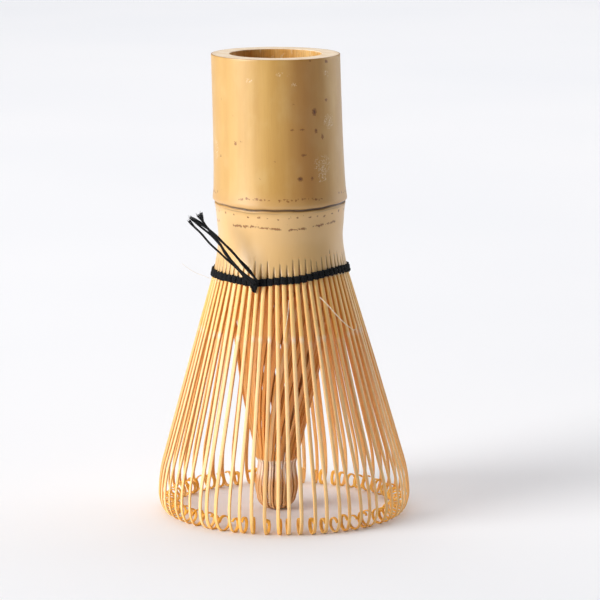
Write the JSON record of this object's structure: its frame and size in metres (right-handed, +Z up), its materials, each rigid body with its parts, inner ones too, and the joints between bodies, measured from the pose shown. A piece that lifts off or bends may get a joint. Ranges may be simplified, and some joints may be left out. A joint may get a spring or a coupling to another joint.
{
  "type": "bamboo tea whisk",
  "caption": "Bamboo tea whisk: hollow culm handle with a node, a thread-bound ring of fine curled outer tines, and a twisted inner core of tines.",
  "frame": {"origin": "middle of the ring of curls that the whisk stands on, on the surface below it", "axes": "+Z up from the tine curls to the handle's cut end, +X to the right seen from the knot's side, and -Y towards the viewer"},
  "size_m": [0.0603, 0.0604, 0.11],
  "materials": {
    "bamboo_culm": "satin bamboo skin with brown specks at the node",
    "bamboo_outer_tine": "satin split bamboo",
    "bamboo_inner_tine": "matt shaved bamboo",
    "binding_thread": "matt black twisted cotton thread"
  },
  "bodies": {
    "root": {"handle": "bamboo_culm", "thread_round_1": "binding_thread", "thread_round_2": "binding_thread", "thread_round_3": "binding_thread", "thread_round_4": "binding_thread", "thread_round_5": "binding_thread", "thread_round_6": "binding_thread", "thread_knot": "binding_thread", "thread_tail_1": "binding_thread", "thread_tail_2": "binding_thread", "thread_tail_3": "binding_thread", "thread_tail_4": "binding_thread", "thread_tail_5": "binding_thread", "thread_tail_6": "binding_thread"},
    "outer_group_01": {"outer_tines_01": "bamboo_outer_tine"},
    "outer_group_02": {"outer_tines_02": "bamboo_outer_tine"},
    "outer_group_03": {"outer_tines_03": "bamboo_outer_tine"},
    "outer_group_04": {"outer_tines_04": "bamboo_outer_tine"},
    "outer_group_05": {"outer_tines_05": "bamboo_outer_tine"},
    "outer_group_06": {"outer_tines_06": "bamboo_outer_tine"},
    "outer_group_07": {"outer_tines_07": "bamboo_outer_tine"},
    "outer_group_08": {"outer_tines_08": "bamboo_outer_tine"},
    "outer_group_09": {"outer_tines_09": "bamboo_outer_tine"},
    "outer_group_10": {"outer_tines_10": "bamboo_outer_tine"},
    "outer_group_11": {"outer_tines_11": "bamboo_outer_tine"},
    "outer_group_12": {"outer_tines_12": "bamboo_outer_tine"},
    "outer_group_13": {"outer_tines_13": "bamboo_outer_tine"},
    "outer_group_14": {"outer_tines_14": "bamboo_outer_tine"},
    "outer_group_15": {"outer_tines_15": "bamboo_outer_tine"},
    "outer_group_16": {"outer_tines_16": "bamboo_outer_tine"},
    "inner_group_01": {"inner_tines_01": "bamboo_inner_tine"},
    "inner_group_02": {"inner_tines_02": "bamboo_inner_tine"},
    "inner_group_03": {"inner_tines_03": "bamboo_inner_tine"},
    "inner_group_04": {"inner_tines_04": "bamboo_inner_tine"},
    "inner_group_05": {"inner_tines_05": "bamboo_inner_tine"},
    "inner_group_06": {"inner_tines_06": "bamboo_inner_tine"},
    "inner_group_07": {"inner_tines_07": "bamboo_inner_tine"},
    "inner_group_08": {"inner_tines_08": "bamboo_inner_tine"}
  },
  "joints": [
    {"name": "outer_flex_01", "type": "hinge", "parent": "root", "child": "outer_group_01", "pos_m": [0.01515, 0.00315, 0.056], "axis": [0.1951, -0.9808, 0], "range_deg": [-3, 8], "stiffness_Nm_per_rad": 0.015},
    {"name": "outer_flex_02", "type": "hinge", "parent": "root", "child": "outer_group_02", "pos_m": [0.01273, 0.00898, 0.056], "axis": [0.5556, -0.8315, 0], "range_deg": [-3, 8], "stiffness_Nm_per_rad": 0.015},
    {"name": "outer_flex_03", "type": "hinge", "parent": "root", "child": "outer_group_03", "pos_m": [0.00827, 0.01345, 0.056], "axis": [0.8315, -0.5556, 0], "range_deg": [-3, 8], "stiffness_Nm_per_rad": 0.015},
    {"name": "outer_flex_04", "type": "hinge", "parent": "root", "child": "outer_group_04", "pos_m": [0.00244, 0.01586, 0.056], "axis": [0.9808, -0.1951, 0], "range_deg": [-3, 8], "stiffness_Nm_per_rad": 0.015},
    {"name": "outer_flex_05", "type": "hinge", "parent": "root", "child": "outer_group_05", "pos_m": [-0.00387, 0.01586, 0.056], "axis": [0.9808, 0.1951, 0], "range_deg": [-3, 8], "stiffness_Nm_per_rad": 0.015},
    {"name": "outer_flex_06", "type": "hinge", "parent": "root", "child": "outer_group_06", "pos_m": [-0.0097, 0.01345, 0.056], "axis": [0.8315, 0.5556, 0], "range_deg": [-3, 8], "stiffness_Nm_per_rad": 0.015},
    {"name": "outer_flex_07", "type": "hinge", "parent": "root", "child": "outer_group_07", "pos_m": [-0.01416, 0.00898, 0.056], "axis": [0.5556, 0.8315, 0], "range_deg": [-3, 8], "stiffness_Nm_per_rad": 0.015},
    {"name": "outer_flex_08", "type": "hinge", "parent": "root", "child": "outer_group_08", "pos_m": [-0.01657, 0.00315, 0.056], "axis": [0.1951, 0.9808, 0], "range_deg": [-3, 8], "stiffness_Nm_per_rad": 0.015},
    {"name": "outer_flex_09", "type": "hinge", "parent": "root", "child": "outer_group_09", "pos_m": [-0.01657, -0.00315, 0.056], "axis": [-0.1951, 0.9808, 0], "range_deg": [-3, 8], "stiffness_Nm_per_rad": 0.015},
    {"name": "outer_flex_10", "type": "hinge", "parent": "root", "child": "outer_group_10", "pos_m": [-0.01416, -0.00898, 0.056], "axis": [-0.5556, 0.8315, 0], "range_deg": [-3, 8], "stiffness_Nm_per_rad": 0.015},
    {"name": "outer_flex_11", "type": "hinge", "parent": "root", "child": "outer_group_11", "pos_m": [-0.0097, -0.01345, 0.056], "axis": [-0.8315, 0.5556, 0], "range_deg": [-3, 8], "stiffness_Nm_per_rad": 0.015},
    {"name": "outer_flex_12", "type": "hinge", "parent": "root", "child": "outer_group_12", "pos_m": [-0.00387, -0.01586, 0.056], "axis": [-0.9808, 0.1951, 0], "range_deg": [-3, 8], "stiffness_Nm_per_rad": 0.015},
    {"name": "outer_flex_13", "type": "hinge", "parent": "root", "child": "outer_group_13", "pos_m": [0.00244, -0.01586, 0.056], "axis": [-0.9808, -0.1951, 0], "range_deg": [-3, 8], "stiffness_Nm_per_rad": 0.015},
    {"name": "outer_flex_14", "type": "hinge", "parent": "root", "child": "outer_group_14", "pos_m": [0.00827, -0.01345, 0.056], "axis": [-0.8315, -0.5556, 0], "range_deg": [-3, 8], "stiffness_Nm_per_rad": 0.015},
    {"name": "outer_flex_15", "type": "hinge", "parent": "root", "child": "outer_group_15", "pos_m": [0.01273, -0.00898, 0.056], "axis": [-0.5556, -0.8315, 0], "range_deg": [-3, 8], "stiffness_Nm_per_rad": 0.015},
    {"name": "outer_flex_16", "type": "hinge", "parent": "root", "child": "outer_group_16", "pos_m": [0.01515, -0.00315, 0.056], "axis": [-0.1951, -0.9808, 0], "range_deg": [-3, 8], "stiffness_Nm_per_rad": 0.015},
    {"name": "inner_flex_01", "type": "hinge", "parent": "root", "child": "inner_group_01", "pos_m": [0.01237, 0.0047, 0.06015], "axis": [0.3369, -0.9415, 0], "range_deg": [0, 5], "stiffness_Nm_per_rad": 0.01},
    {"name": "inner_flex_02", "type": "hinge", "parent": "root", "child": "inner_group_02", "pos_m": [0.0052, 0.01261, 0.06015], "axis": [0.904, -0.4276, 0], "range_deg": [0, 5], "stiffness_Nm_per_rad": 0.01},
    {"name": "inner_flex_03", "type": "hinge", "parent": "root", "child": "inner_group_03", "pos_m": [-0.00547, 0.01314, 0.06015], "axis": [0.9415, 0.3369, 0], "range_deg": [0, 5], "stiffness_Nm_per_rad": 0.01},
    {"name": "inner_flex_04", "type": "hinge", "parent": "root", "child": "inner_group_04", "pos_m": [-0.01338, 0.00596, 0.06015], "axis": [0.4276, 0.904, 0], "range_deg": [0, 5], "stiffness_Nm_per_rad": 0.01},
    {"name": "inner_flex_05", "type": "hinge", "parent": "root", "child": "inner_group_05", "pos_m": [-0.0139, -0.0047, 0.06015], "axis": [-0.3369, 0.9415, 0], "range_deg": [0, 5], "stiffness_Nm_per_rad": 0.01},
    {"name": "inner_flex_06", "type": "hinge", "parent": "root", "child": "inner_group_06", "pos_m": [-0.00673, -0.01261, 0.06015], "axis": [-0.904, 0.4276, 0], "range_deg": [0, 5], "stiffness_Nm_per_rad": 0.01},
    {"name": "inner_flex_07", "type": "hinge", "parent": "root", "child": "inner_group_07", "pos_m": [0.00393, -0.01314, 0.06015], "axis": [-0.9415, -0.3369, 0], "range_deg": [0, 5], "stiffness_Nm_per_rad": 0.01},
    {"name": "inner_flex_08", "type": "hinge", "parent": "root", "child": "inner_group_08", "pos_m": [0.01184, -0.00596, 0.06015], "axis": [-0.4276, -0.904, 0], "range_deg": [0, 5], "stiffness_Nm_per_rad": 0.01}
  ]
}
